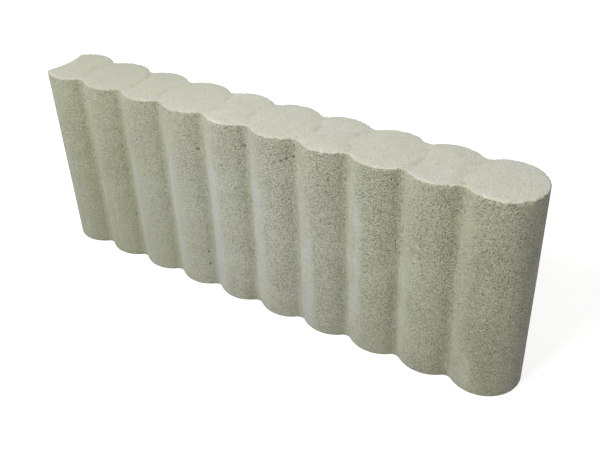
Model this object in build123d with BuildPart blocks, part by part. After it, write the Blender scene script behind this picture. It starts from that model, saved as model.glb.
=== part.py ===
# Scalloped garden edging stone: one dry-pressed concrete block, a row of upright round lobes.
# It stands on its flat base. X runs along the row, Y across it, Z up, in millimetres.
import os
from build123d import *

os.makedirs("parts", exist_ok=True)

# Row of lobes: the laying length is lobes times pitch
lobes = 10
pitch = 50.0
height = 196.5

# Section of the row
lobe_radius = 33.0
valley_radius = 7.0

# The round end is a little slimmer and further in, so that it enters the next stone freely
end_radius = 32.5
end_setback = 0.7
end_x = (lobes - 1) * pitch - end_setback

# Hollow end, with an upright horn on each side that is rounded where it left the mould
socket_radius = 47.0
socket_x = -64.5
horn_radius = 2.0

# The pressed top of each lobe is a shallow dome, and neighbouring domes meet in a faint crease
crown_drop = 1.0
crown_radius = (lobe_radius**2 + crown_drop**2) / (2 * crown_drop)

# Arrises, taken off flat here, where the real ones are worn round
top_arris = 0.8
base_arris = 0.8

full_lobes = [(i * pitch, 0) for i in range(lobes - 1)]


def in_valley(corner):
    return 0 < corner.X < end_x and abs(corner.Y) < 0.9 * lobe_radius


def on_horn(corner):
    return corner.X < 0 and abs(corner.Y) > lobe_radius / 2


# Plan of the stone, with the first lobe's centre at the origin
with BuildSketch() as plan:
    with Locations(full_lobes):
        Circle(lobe_radius)
    with Locations((end_x, 0)):
        Circle(end_radius)
    fillet(plan.vertices().filter_by(in_valley), valley_radius)
    with Locations((socket_x, 0)):
        Circle(socket_radius, mode=Mode.SUBTRACT)
    fillet(plan.vertices().filter_by(on_horn), horn_radius)

outline = plan.sketch.bounding_box()
middle_x = (outline.min.X + outline.max.X) / 2

# Block under one lobe's domed top, wide enough to reach past the lobe and its valleys
block_side = 2.1 * lobe_radius
with BuildPart() as dome:
    Box(block_side, block_side, height, align=(Align.CENTER, Align.CENTER, Align.MIN))
    with Locations((0, 0, height - crown_radius)):
        Sphere(crown_radius, mode=Mode.INTERSECT)

# The stone: a row of domed blocks, cut to the plan, with its arrises taken off
with BuildPart() as edging_stone:
    with Locations([(i * pitch - middle_x, 0, 0) for i in range(lobes)]):
        add(dome.part)
    with BuildSketch():
        with Locations((-middle_x, 0)):
            add(plan.sketch)
    extrude(amount=height, mode=Mode.INTERSECT)
    base = edging_stone.faces().sort_by(Axis.Z)[0]
    walls = edging_stone.faces().filter_by(lambda face: abs(face.normal_at(face.center()).Z) < 0.1)
    rim = walls.edges().filter_by(lambda edge: edge.bounding_box().min.Z > height / 2)
    chamfer(base.edges(), base_arris)
    chamfer(rim, top_arris)

edging_stone.part.label = "edging_stone"
export_step(edging_stone.part, "parts/edging_stone.step")
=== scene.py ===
# Scalloped garden edging stone, one dry-pressed concrete block, seen from its round end.
# All lengths are in metres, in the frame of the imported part: X along the row, Z up.
import math

import bmesh
import bpy
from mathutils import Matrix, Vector, noise


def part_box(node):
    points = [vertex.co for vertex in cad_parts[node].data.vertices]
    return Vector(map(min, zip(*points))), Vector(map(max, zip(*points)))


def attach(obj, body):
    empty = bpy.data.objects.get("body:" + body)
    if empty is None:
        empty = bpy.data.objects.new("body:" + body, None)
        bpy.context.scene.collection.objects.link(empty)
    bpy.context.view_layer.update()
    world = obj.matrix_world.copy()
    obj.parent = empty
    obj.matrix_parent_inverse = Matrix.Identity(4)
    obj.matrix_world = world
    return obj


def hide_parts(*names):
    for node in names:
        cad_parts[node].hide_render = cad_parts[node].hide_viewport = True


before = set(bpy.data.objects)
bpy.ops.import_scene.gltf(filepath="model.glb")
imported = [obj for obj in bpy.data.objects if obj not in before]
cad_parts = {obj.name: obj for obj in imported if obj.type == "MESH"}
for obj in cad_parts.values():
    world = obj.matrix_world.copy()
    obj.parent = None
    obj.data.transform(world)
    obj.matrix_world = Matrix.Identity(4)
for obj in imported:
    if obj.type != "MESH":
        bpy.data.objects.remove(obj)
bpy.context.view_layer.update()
MM = 0.001

# Camera: about 1.3 m from the middle of the stone, to the right of its front and above it,
# with the lens moved a little down, as in the photograph.
camera_data = bpy.data.cameras.new("camera")
camera_data.sensor_width = 36
camera_data.lens = 47.34
camera_data.shift_x = 0.0072
camera_data.shift_y = -0.0441
camera = bpy.data.objects.new("camera", camera_data)
camera.location = (0.3715, -0.5014, 0.5080)
camera.rotation_euler = [math.radians(a) for a in (57.256, 2.118, 33.030)]
bpy.context.scene.collection.objects.link(camera)
bpy.context.scene.camera = camera

# The stone: a block of semi-dry concrete rammed into a steel mould and pushed out at once,
# so its walls show open sand grain and pores, and its top the smooth skin left by the press head.
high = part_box("edging_stone")[1]
height = high.z
lobe_count = 10
pitch = 50 * MM
lobe_radius = 33 * MM
end_radius = 32.5 * MM
valley_radius = 7 * MM
socket_radius = 47 * MM
horn_radius = 2 * MM
end_setback = 0.7 * MM
socket_offset = 64.5 * MM
end_x = high.x - end_radius
first_x = end_x - (lobe_count - 1) * pitch + end_setback
socket_x = first_x - socket_offset
crown_drop = 1 * MM
arris_radius = 0.8 * MM
arc_step = 1.2 * MM
weld_gap = 0.05 * MM
wall_grey = "#C8CCC1"
wall_olive = "#A0A48D"
wall_yellow = "#BEC1A3"
wall_green = "#AFB29A"
wall_warm = "#A3A384"
wall_paste_and_reflection = "#BCC3C2"
wall_foot_shade = "#9A9A82"
sand_pale = "#E8E7CC"
sand_dark = "#7C7B54"
painted_pit_shade = "#4E4814"
# The top's colours are paler than the wall's, partly for its pressed skin and partly as painted light from
# above
skin_grey = "#D5D7C9"
skin_pale = "#DFE0D2"
skin_old = "#CDCEBE"
skin_warm = "#D7D5BC"
skin_highlight = "#E2E1D1"

lobes = [(first_x + i * pitch, lobe_radius) for i in range(lobe_count - 1)]
lobes.append((end_x, end_radius))


def centre_between(a, reach_a, b, reach_b):
    """The point behind the middle line at these distances from two points a and b on that line."""
    x = (a + b) / 2 + (reach_a**2 - reach_b**2) / (2 * (b - a))
    return Vector((x, math.sqrt(reach_a**2 - (x - a) ** 2), 0))


def bearing(x, point):
    """Angle of a point, seen from a place on the middle line."""
    return math.atan2(point.y, point.x - x)


def add_arc(bm, centre, radius, start, end):
    """Spins one vertex round a centre, from one angle to another, in steps of about arc_step."""
    begin = bmesh.ops.create_vert(bm, co=centre + radius * Vector((math.cos(start), math.sin(start), 0)))
    steps = max(3, round(abs(end - start) * radius / arc_step))
    bmesh.ops.spin(bm, geom=begin["vert"], cent=centre, axis=(0, 0, 1), angle=end - start, steps=steps)


horn = centre_between(socket_x, socket_radius + horn_radius, first_x, lobe_radius - horn_radius)
valleys = [
    centre_between(a, radius_a + valley_radius, b, radius_b + valley_radius)
    for (a, radius_a), (b, radius_b) in zip(lobes, lobes[1:])
]

solid = bmesh.new()
horn_turn = bearing(socket_x, horn)
add_arc(solid, Vector((socket_x, 0, 0)), socket_radius, 0, horn_turn)
add_arc(solid, horn, horn_radius, horn_turn + math.pi, bearing(first_x, horn))
for i, (x, radius) in enumerate(lobes):
    start = bearing(x, valleys[i - 1]) if i else bearing(x, horn)
    end = bearing(x, valleys[i]) if i < len(valleys) else 0
    add_arc(solid, Vector((x, 0, 0)), radius, start, end)
    if i < len(valleys):
        next_x = lobes[i + 1][0]
        turn = (end + math.pi, bearing(next_x, valleys[i]) + math.pi)
        add_arc(solid, valleys[i], valley_radius, *turn)
bmesh.ops.mirror(solid, geom=solid.verts[:] + solid.edges[:], axis="Y", merge_dist=weld_gap)
bmesh.ops.remove_doubles(solid, verts=solid.verts, dist=weld_gap)
bmesh.ops.contextual_create(solid, geom=solid.edges)
raised = bmesh.ops.extrude_face_region(solid, geom=solid.faces[:])["geom"]
top_verts = [v for v in raised if isinstance(v, bmesh.types.BMVert)]
bmesh.ops.translate(solid, verts=top_verts, vec=(0, 0, height))
bmesh.ops.recalc_face_normals(solid, faces=solid.faces)
arrises = [e for e in solid.edges if abs(e.verts[0].co.z - e.verts[1].co.z) < MM]
bmesh.ops.bevel(
    solid, geom=arrises, offset=arris_radius, segments=4, profile=0.5, affect="EDGES", material=-1
)

stone_mesh = bpy.data.meshes.new("edging_stone_concrete")
solid.to_mesh(stone_mesh)
solid.free()
stone = bpy.data.objects.new("edging_stone_concrete", stone_mesh)
bpy.context.scene.collection.objects.link(stone)


def apply_modifier(piece, kind, **settings):
    """Adds a modifier to a piece and bakes it into the piece's mesh."""
    modifier = piece.modifiers.new(kind.title(), kind)
    for name, value in settings.items():
        setattr(modifier, name, value)
    evaluated = piece.evaluated_get(bpy.context.evaluated_depsgraph_get())
    result = bpy.data.meshes.new_from_object(evaluated)
    piece.modifiers.clear()
    piece.data = result


apply_modifier(stone, "REMESH", mode="VOXEL", voxel_size=1.0 * MM)


# Relief of the skin: rammed sand with open pores, calmer where the mould dragged paste along it.
# Every second lobe has a full round disc on top, and the tops between them dip to its edge in a crease.
disc_radius = 32.3 * MM
crease_depth = 0.3 * MM
crease_width = 9 * MM
edge_roll = 0.15 * MM
roll_width = 5 * MM
wear_width = 4 * MM
foot_height = 1.5 * MM
dome_reach = 8 * MM
triangle_limit = 196000

# Marks on the front, each as lobe, distance round it to the right of its crest, height, half sizes
# the same two ways, all in millimetres, and strength
holes = (
    (1, 21.8, 135, 0.9, 0.9, 0.7),
    (1, 10.8, 93, 0.9, 0.9, 0.5),
    (1, 12.8, 53, 1.0, 1.0, 0.6),
    (1, 23.8, 53, 1.0, 1.0, 0.6),
    (1, 1.8, 55, 0.9, 0.9, 0.6),
    (2, 24.0, 82, 1.2, 1.2, 0.8),
    (3, 21.5, 158, 1.8, 1.5, 1.0),
    (3, 20.5, 41, 1.2, 1.2, 1.0),
    (3, 20.5, 26, 1.2, 1.5, 1.0),
    (4, 25.0, 175, 1.2, 1.5, 1.0),
    (4, 1.3, 153, 1.5, 0.9, 1.0),
    (5, 2.0, 168, 1.0, 0.9, 1.0),
    (5, 9.0, 171, 1.6, 0.9, 1.0),
    (5, 15.0, 174, 1.2, 0.9, 1.0),
    (5, 20.0, 176, 1.6, 1.0, 1.0),
    (5, 26.0, 178, 1.2, 1.0, 1.0),
    (7, 0.5, 110, 1.0, 1.0, 1.0),
    (7, 11.0, 155, 1.1, 0.9, 1.0),
)
scuffs = (
    (0, 1.5, 30, 1.8, 22, 0.5),
    (1, 1.0, 188, 1.2, 5, 0.6),
    (1, 1.0, 50, 1.5, 36, 0.45),
    (5, 6.0, 135, 2.5, 1.2, 1.0),
    (6, 7.5, 135, 4.5, 1.2, 0.7),
    (7, -3.5, 130, 1.8, 1.2, 1.0),
    (7, 1.5, 112, 1.8, 1.2, 1.0),
    (8, -5.0, 133, 4.5, 1.5, 0.8),
    (8, -6.0, 118, 3.0, 1.0, 1.0),
    (9, 3.0, 116, 3.0, 1.2, 1.0),
    (9, 5.0, 84, 1.5, 1.5, 1.0),
    (9, -6.0, 26, 5.0, 18, 0.35),
)
smears_and_edge_reflection = (
    (1, -17, 55, 5, 50, 0.5),
    (2, -18, 75, 6, 65, 0.7),
    (3, -18, 130, 6, 26, 1.0),
    (3, -18, 53, 7, 50, 1.0),
    (4, -18, 114, 8, 50, 1.0),
    (4, -17, 40, 8, 50, 1.0),
    (5, -17, 96, 8, 70, 1.0),
    (6, -14, 49, 8, 75, 1.0),
    (7, -16, 92, 8, 90, 1.0),
    (8, -20, 60, 5, 70, 0.5),
    (9, -7, 24, 6, 20, 0.4),
    # the last smear, along the far right edge of the round lobe, is a painted cool reflection, not paste
    (9, 49, 98, 7, 120, 0.6),
)
stains = (
    (0, 18, 98, 9, 85, 1.0),
    (0, 18, 122, 7, 22, 1.0),
    (1, 21, 105, 8, 55, 1.0),
    (4, 20, 8, 7, 14, 1.0),
    (7, 23.5, 71, 5, 40, 1.0),
    (8, 20, 5, 8, 10, 1.0),
    (9, 3, 70, 17, 90, 1.5),
)
chips = (
    (9, 28.8, 196, 3.2, 3.0, 1.0),
    (9, 2.0, 196, 8.0, 1.2, 0.8),
    (9, -8.5, 196, 1.8, 1.6, 1.0),
    (8, 14.0, 196, 3.5, 1.2, 1.0),
    (6, 3.0, 196, 3.0, 1.0, 1.0),
    (5, 12.0, 196, 3.0, 1.1, 1.0),
    (3, 5.0, 196, 3.0, 1.0, 1.0),
)
worn = (
    (9, 19.5, 196, 5.0, 3.0, 1.0),
    (8, -6.0, 196, 7.0, 2.0, 1.0),
    (7, 10.0, 196, 8.0, 2.0, 1.0),
    (4, -4.0, 196, 8.0, 2.0, 1.0),
)


def smooth_step(value, start, end):
    t = min(1, max(0, (value - start) / (end - start)))
    return t * t * (3 - 2 * t)


def lobe_of(x):
    return min(lobe_count - 1, max(0, int((x - first_x) / pitch + 0.5)))


def marked(marks, lobe, round_mm, height_mm, blur):
    """1 inside the marks of a lobe and 0 outside, with edges blurred over that share of their size."""
    inside = 0
    for at, across, up, half_across, half_up, strength in marks:
        if at == lobe:
            away = math.hypot((round_mm - across) / half_across, (height_mm - up) / half_up)
            inside = max(inside, strength * (1 - smooth_step(away, 1 - blur, 1 + blur)))
    return inside


def dragged_paste(p, phase, lobe):
    """1 on the smooth stripe that the mould dragged along a lobe's left flank, 0 elsewhere."""
    wander = noise.noise(Vector((lobe, 0, p.z / (45 * MM))))
    gap = noise.noise(Vector((lobe, 9, p.z / (28 * MM))))
    far_side = smooth_step(phase, 0.12 + 0.05 * wander, 0.32 + 0.1 * wander)
    stripe = smooth_step(phase, 0.02, 0.06) * (1 - far_side)
    reach = 1 - smooth_step(p.z, 0.6 * height, 0.9 * height)
    return 0.7 * stripe * reach * smooth_step(gap, -0.45, 0.1)


def open_grain(p, phase):
    """How many sand grains have dropped out of the skin: 0 for a closed skin, 1 for the most open one."""
    along = smooth_step(p.x, first_x, end_x - 1.5 * pitch)
    patch = noise.noise(p / (30 * MM)) + 0.2 * noise.noise(p / (10 * MM))
    crest = smooth_step(phase, 0.12, 0.5)
    upper = smooth_step(p.z, 0.15 * height, 0.75 * height) - 0.5
    return min(1, max(0, 0.16 + 0.43 * along + 0.22 * crest + 0.1 * upper + 0.2 * patch))


def pore(p, cell, reach, share):
    """Depth from 0 to 1 of a round pore: that share of the cells of that size hold one each."""
    distances, centres = noise.voronoi(p / cell)
    if 0.5 + 0.5 * noise.noise(centres[0] * 7.3) > share:
        return 0
    return max(0, 1 - distances[0] / reach) ** 0.6


skin = stone.data
layers = {"pressed": [], "dragged": [], "open": [], "warm": [], "pores": [], "scuffed": [], "painted_rim_highlight": []}
moved = []
for vertex in skin.vertices:
    p = vertex.co.copy()
    n = vertex.normal.copy()

    # Where the point is: on which lobe, how far across it, how far from its edge, on which side
    lobe = lobe_of(p.x)
    phase = (p.x - first_x) / pitch + 0.5 - lobe
    between = min(phase, 1 - phase) * pitch
    from_middle = math.hypot(p.x - lobes[lobe][0], p.y)
    front = p.y < 0
    spot = (lobe, lobe_radius / MM * math.atan2(p.x - lobes[lobe][0], abs(p.y)), p.z / MM)
    to_edge = max(0, lobes[lobe][1] - from_middle)
    at_edge = (1 - smooth_step(abs(height - p.z), 0, wear_width)) * (1 - smooth_step(to_edge, 0, wear_width))

    # Pressed top or open wall: a broken edge shows the wall's grain
    broken = marked(chips, *spot, 0.4) * front * at_edge
    facing_up = n.z + 0.1 * noise.noise(p / (3 * MM))
    pressed = smooth_step(facing_up, 0.8, 0.97) * (1 - smooth_step(broken, 0.2, 0.5))
    wall = 1 - pressed

    # How far the domed top lies below its crown: on the nearest disc, or on the top that is tucked beside it
    disc = 2 * int((p.x - first_x) / (2 * pitch)) + 1
    tucked = min(disc + (1 if p.x > lobes[disc][0] else -1), lobe_count - 2)
    from_disc = math.hypot(p.x - lobes[disc][0], p.y)
    from_tucked = math.hypot(p.x - lobes[tucked][0], p.y)
    outward = from_disc - disc_radius
    crease = max(0, 1 - abs(outward) / crease_width) ** 2 * (1 - smooth_step(from_tucked, 28 * MM, 38 * MM))
    if outward < 0:
        domed = (from_disc / lobe_radius) ** 2
    else:
        risen = 1 - max(0, 1 - outward / crease_width) ** 2
        disc_edge = (disc_radius / lobe_radius) ** 2
        domed = (1 - risen) * disc_edge + risen * min(1.1, (from_tucked / lobe_radius) ** 2)
    rolled = edge_roll * (1 - smooth_step(to_edge, 0, roll_width)) ** 2
    drop = crown_drop * domed + rolled + crease_depth * crease

    # Marks of the mould, the weather and handling, with painted shade in the valleys, a painted highlight
    # on the top's rim and a painted cool reflection on the round end
    ragged = smooth_step(noise.noise(Vector((p.x, p.y, 0.3 * p.z)) / (9 * MM)), -0.7, 0.3)
    dragged = (marked(smears_and_edge_reflection, *spot, 0.6) * ragged if front else dragged_paste(p, phase, lobe)) * wall
    # Painted shade: warm darkening along each valley and each lobe's right flank; the listed stains are real
    in_valley = 1 - smooth_step(between, 1 * MM, 5 * MM)
    placed_stain = 0.8 * marked(stains, *spot, 0.6) * front
    stain_and_valley_shade = max(0.4 * smooth_step(phase, 0.75, 0.95), 0.55 * in_valley, placed_stain)
    warm = stain_and_valley_shade * smooth_step(noise.noise(Vector((p.x, p.y, 0.4 * p.z)) / (22 * MM)), -0.6, 0.2)
    scuffed = marked(scuffs, *spot, 0.6) * front * wall * smooth_step(noise.noise(p / (6 * MM)), -0.8, 0.2)
    hole = marked(holes, *spot, 0.4) * front * wall
    # Painted highlight: a paler band along the top's edge, where its arris faces the light
    painted_rim_highlight = pressed * (1 - smooth_step(to_edge + 2 * MM * noise.noise(p / (4 * MM)), 1 * MM, 5 * MM))

    # How open the grain is: closed under dragged paste, on the top and just under its edge
    patchy = smooth_step(noise.noise(p / (7 * MM)), -0.2, 0.5)
    rough_crease = pressed * smooth_step(crease, 0.15, 0.8) * patchy
    under_edge = wall * (1 - smooth_step(height - p.z, 0, 2 * MM))
    openness = open_grain(p, phase) * (1 - 0.8 * dragged) * (1 - 0.65 * pressed) * (1 - 0.5 * scuffed)
    openness = max(0.5 * rough_crease, openness * (1 - 0.3 * under_edge))
    pores = max(1.2 * hole, 0.8 * pore(p, 7 * MM, 0.17, 0.05 + 0.2 * openness) * wall)

    # Depth of the relief in millimetres
    grain = 0.05 * noise.noise(p / (2 * MM))
    crumbled = max(0, noise.noise(p / (3.5 * MM)) + 0.5 * noise.noise(p / (9 * MM))) * at_edge
    rounded_off = marked(worn, *spot, 0.4) * front * at_edge
    depth = 0.1 + 0.05 * wall + 0.1 * noise.noise(p / (40 * MM)) + (0.25 + 0.75 * openness) * grain + pores
    depth += 1.1 * crumbled + 2.4 * broken + 1.6 * rounded_off
    inward = n * max(0, depth) * MM * smooth_step(p.z, 0, foot_height)
    moved.append(p - inward - Vector((0, 0, drop * smooth_step(p.z, height - dome_reach, height))))
    values = (pressed, dragged, openness, warm * wall + rough_crease, pores, scuffed, painted_rim_highlight)
    for layer, value in zip(layers.values(), values):
        layer.append(value)
for vertex, place in zip(skin.vertices, moved):
    vertex.co = place
for name, values in layers.items():
    skin.attributes.new(name, "FLOAT", "POINT").data.foreach_set("value", values)
apply_modifier(stone, "DECIMATE", ratio=min(1, triangle_limit / (2 * len(skin.polygons))))
for polygon in stone.data.polygons:
    polygon.use_smooth = True


# Dry-pressed concrete: grey cement on a greenish-beige sand, matt, with missing grains as pores darkened
# by painted shade, and a little sheen where its dusty grain lightens it at a shallow angle. Real sand of
# 0.2 to 1 mm is too fine to show in the render, so its grains and pits are drawn two to three times as
# coarse.
def linear(colour):
    """sRGB hex to linear RGBA."""
    parts = [int(colour[i : i + 2], 16) / 255 for i in (1, 3, 5)]
    return [c / 12.92 if c <= 0.04045 else ((c + 0.055) / 1.055) ** 2.4 for c in parts] + [1]


def add_node(tree, kind, inputs=None, **settings):
    """Adds a node with its settings, and sets or links its inputs, by name or by number."""
    made = tree.nodes.new(kind)
    for name, value in settings.items():
        setattr(made, name, value)
    for name, value in (inputs or {}).items():
        if isinstance(value, bpy.types.NodeSocket):
            tree.links.new(value, made.inputs[name])
        else:
            made.inputs[name].default_value = value
    return made


concrete = bpy.data.materials.new("dry_pressed_concrete")
concrete.use_nodes = True
tree = concrete.node_tree
shader = tree.nodes["Principled BSDF"]
shader.inputs["Roughness"].default_value = 0.92
shader.inputs["Specular IOR Level"].default_value = 0.2
shader.inputs["Sheen Weight"].default_value = 0.4
shader.inputs["Sheen Roughness"].default_value = 0.3
place = add_node(tree, "ShaderNodeTexCoord").outputs["Object"]
axes = add_node(tree, "ShaderNodeSeparateXYZ", {"Vector": place})
along, upward = axes.outputs["X"], axes.outputs["Z"]
pressed, dragged, openness, warm, pores, scuffed, painted_rim_highlight = (
    add_node(tree, "ShaderNodeAttribute", attribute_name=name).outputs["Fac"] for name in layers
)

# The press flattens the bed of grains, so all patterns are squeezed in height
flattened = (1, 1, 1.9)
bedded = add_node(tree, "ShaderNodeVectorMath", {0: place, 1: flattened}, operation="MULTIPLY").outputs[0]

# Unevenness as size, detail and roughness: patches in the wall, clouds and yellow specks in the skin of
# the top, cement between the grains, and grit in the relief
unevenness = (
    (35 * MM, 1, 0.5),
    (16 * MM, 3, 0.5),
    (18 * MM, 5, 0.8),
    (0.45 * MM, 1, 0.6),
    (0.6 * MM, 2, 0.6),
)
patches, clouds, specks, cement, grit = (
    add_node(
        tree,
        "ShaderNodeTexNoise",
        {"Vector": bedded, "Scale": 1 / size, "Detail": detail, "Roughness": roughness},
    ).outputs["Fac"]
    for size, detail, roughness in unevenness
)

# Sand grains of four sizes: how far each point is from its grain's middle, and the grain's own number
sand = []
for size in (1.6 * MM, 2.1 * MM, 1.8 * MM, 1.1 * MM):
    cells = add_node(tree, "ShaderNodeTexVoronoi", {"Vector": bedded, "Scale": 1 / size})
    number = add_node(tree, "ShaderNodeSeparateColor", {"Color": cells.outputs["Color"]})
    sand.append((cells.outputs["Distance"], number.outputs["Red"]))
(grain_distance, grain_number), lost_grains, pale_sand, (fine_distance, fine_number) = sand


def summed(*parts):
    """Adds patterns up, each times its weight."""
    total = 0
    for pattern, weight in parts:
        terms = {0: pattern, 1: weight, 2: total}
        total = add_node(tree, "ShaderNodeMath", terms, operation="MULTIPLY_ADD").outputs[0]
    return total


def by_openness(closed, opened):
    """A strength that grows from a closed skin to one that is four fifths open."""
    strength = {"Value": openness, "From Max": 0.8, "To Min": closed, "To Max": opened}
    return add_node(tree, "ShaderNodeMapRange", strength).outputs["Result"]


def spots(distance, number, widest):
    """1 in a round spot in the middle of each grain, as wide as its number makes it, and 0 elsewhere."""
    share = add_node(tree, "ShaderNodeMapRange", {"Value": number, "To Min": 0.15}).outputs["Result"]
    edge = add_node(tree, "ShaderNodeMath", {0: share, 1: widest}, operation="MULTIPLY").outputs[0]
    core = add_node(tree, "ShaderNodeMath", {0: edge, 1: 0.5}, operation="MULTIPLY").outputs[0]
    faded = {"Value": distance, "From Min": edge, "From Max": core}
    return add_node(tree, "ShaderNodeMapRange", faded).outputs["Result"]


def painted(under, coats):
    """Lays colours over one another, each where its mask goes from start to end, up to a share of most."""
    for colour, mask, start, end, most in coats:
        stretch = {"Value": mask, "From Min": start, "From Max": end, "To Max": most}
        share = add_node(tree, "ShaderNodeMapRange", stretch).outputs["Result"]
        blend = {0: share, 6: under, 7: linear(colour)}
        under = add_node(tree, "ShaderNodeMix", blend, data_type="RGBA").outputs[2]
    return under


# Grains that dropped out as pits, small ones only here and there, and pale grains that stayed
spot_width = by_openness(0.08, 0.42)
pits = spots(*lost_grains, spot_width)
pale_grains = spots(*pale_sand, spot_width)
few = summed((openness, 0.12), (fine_number, -1))
shallow = {"Value": fine_distance, "From Min": 0.6, "From Max": 0.36, "To Max": 0.8}
small_pit = add_node(tree, "ShaderNodeMapRange", shallow).outputs["Result"]
here_and_there = {"Value": few, "From Min": -0.02, "From Max": 0.02, "To Max": small_pit}
small_pits = add_node(tree, "ShaderNodeMapRange", here_and_there).outputs["Result"]
gone = add_node(tree, "ShaderNodeMath", {0: small_pits, 1: pits}, operation="MAXIMUM").outputs[0]

# Tone of the grain, its contrast, and how much of it shows through a scuff
tone = summed((grain_number, 0.5), (cement, 0.9))
contrast = by_openness(0.35, 0.6)
scuff = {"Value": tone, "From Min": 0.35, "From Max": 0.75, "To Min": 0.2, "To Max": 0.8}
scuff_strength = add_node(tree, "ShaderNodeMapRange", scuff).outputs["Result"]

# Wall: grey in the middle of the row, olive to the hollow end and yellowish to the round one and the top,
# greyer again at the far end as painted cool light; then its stains and painted shade in the valleys, its
# paste, its grain and its pits darkened by painted shade, its scuffs, and painted shade towards the foot
hollow_side = (along, lobes[4][0], lobes[1][0])
wall = painted(
    linear(wall_grey),
    (
        (wall_olive, *hollow_side, 1),
        (wall_yellow, along, lobes[5][0], lobes[8][0], 1),
        # greyer again at the far end of the round lobe: painted cool light on its shaded end face
        (wall_grey, along, lobes[9][0] + 10 * MM, high.x, 0.6),
        (wall_green, patches, 0.35, 0.65, 0.35),
        # real stains, with painted shade in the valleys and on each lobe's right flank
        (wall_warm, warm, 0, 1, 1),
        # dragged paste, and a painted cool reflection on the round lobe's far edge
        (wall_paste_and_reflection, dragged, 0, 1, 0.8),
        (wall_yellow, upward, 0.6 * height, 0.9 * height, 0.4),
        (sand_pale, tone, 0.75, 1.05, contrast),
        (sand_dark, tone, 0.65, 0.35, contrast),
        (sand_pale, openness, 0, 1, 0.25),
        (sand_pale, pale_grains, 0, 1, 0.9),
        # pits darkened as painted shade
        (painted_pit_shade, gone, 0, 1, 0.75),
        (skin_pale, scuffed, 0, 1, scuff_strength),
        # painted shade, darker towards the foot
        (wall_foot_shade, upward, 0.5 * height, 0, 0.3),
        # painted shadow along the very foot, where the stone meets the floor
        (sand_dark, upward, 2.2 * MM, 0.8 * MM, 0.5),
    ),
)

# Top: a pale smooth skin, paler than the wall partly as painted light from above, cloudy, older at the
# hollow end, with warm specks, a painted highlight along its rim and few pits darkened by painted shade
top = painted(
    linear(skin_grey),
    (
        (skin_pale, clouds, 0.3, 0.7, 1),
        (skin_old, *hollow_side, 1),
        (skin_warm, specks, 0.4, 0.65, 0.6),
        # painted highlight along the top's edge
        (skin_highlight, painted_rim_highlight, 0, 1, 0.08),
        (wall_warm, warm, 0, 1, 0.3),
        (wall_warm, tone, 0.6, 0.35, 0.35),
        # painted shade in the few pits of the top
        (sand_dark, gone, 0, 1, 0.4),
    ),
)
colour = add_node(tree, "ShaderNodeMix", {0: pressed, 6: wall, 7: top}, data_type="RGBA").outputs[2]
# Pores darkened as painted shade
colour = painted(colour, ((painted_pit_shade, pores, 0, 1.2, 0.42),))
tree.links.new(colour, shader.inputs["Base Color"])

# Relief of the single grains, fuller where the skin is open and half as strong on the pressed top
relief = summed((grain_distance, -0.6), (gone, -0.7), (grit, 0.45))
for mask, least, most in ((openness, 0.2, 1.0), (pressed, 1.0, 0.5)):
    strength = {"Value": mask, "To Min": least, "To Max": most}
    share = add_node(tree, "ShaderNodeMapRange", strength).outputs["Result"]
    relief = add_node(tree, "ShaderNodeMath", {0: relief, 1: share}, operation="MULTIPLY").outputs[0]
bump = add_node(tree, "ShaderNodeBump", {"Height": relief, "Strength": 1.0, "Distance": 2.4 * MM})
tree.links.new(bump.outputs["Normal"], shader.inputs["Normal"])
stone.data.materials.append(concrete)

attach(stone, "root")
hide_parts("edging_stone")

# Floor: a plain pale board, one flat painted sheet. It shows white to the camera and keeps the soft
# shadow of the stone.
board = bmesh.new()
bmesh.ops.create_grid(board, x_segments=1, y_segments=1, size=6)
floor_mesh = bpy.data.meshes.new("floor")
board.to_mesh(floor_mesh)
board.free()
floor = bpy.data.objects.new("floor", floor_mesh)
bpy.context.scene.collection.objects.link(floor)
white_board = bpy.data.materials.new("white_painted_board")
white_board.use_nodes = True
floor_tree = white_board.node_tree
floor_shader = floor_tree.nodes["Principled BSDF"]
floor_shader.inputs["Base Color"].default_value = linear("#C6C6C4")
floor_shader.inputs["Roughness"].default_value = 0.9
floor_shader.inputs["Emission Color"].default_value = linear("#FFFFFF")
floor_glow = 0.72
seen = add_node(floor_tree, "ShaderNodeLightPath").outputs["Is Camera Ray"]
glow = add_node(floor_tree, "ShaderNodeMath", {0: seen, 1: floor_glow}, operation="MULTIPLY").outputs[0]
floor_tree.links.new(glow, floor_shader.inputs["Emission Strength"])
floor.data.materials.append(white_board)

# Light: one large soft box in front of the stone, above it and a little to the left, and an even white
# room that the camera sees as plain white.
room_light = 0.45
world = bpy.data.worlds.new("room")
world.use_nodes = True
room = world.node_tree
backdrop = room.nodes["Background"]
backdrop.inputs["Color"].default_value = linear("#FFFFFF")
seen = add_node(room, "ShaderNodeLightPath").outputs["Is Camera Ray"]
levels = {"Value": seen, "To Min": room_light, "To Max": 1.0}
room_level = add_node(room, "ShaderNodeMapRange", levels)
room.links.new(room_level.outputs["Result"], backdrop.inputs["Strength"])
bpy.context.scene.world = world

softbox_data = bpy.data.lights.new("key_softbox", "AREA")
softbox_data.shape = "DISK"
softbox_data.size = 0.8
softbox_data.energy = 19
softbox = bpy.data.objects.new("key_softbox", softbox_data)
softbox_place = Vector((-0.33, -1.2, 1.3))
softbox_aim = Vector((-0.05, 0, 0.1))
softbox.location = softbox_place
softbox.rotation_euler = (softbox_aim - softbox_place).to_track_quat("-Z", "Y").to_euler()
bpy.context.scene.collection.objects.link(softbox)

bpy.context.scene.view_settings.view_transform = "Standard"
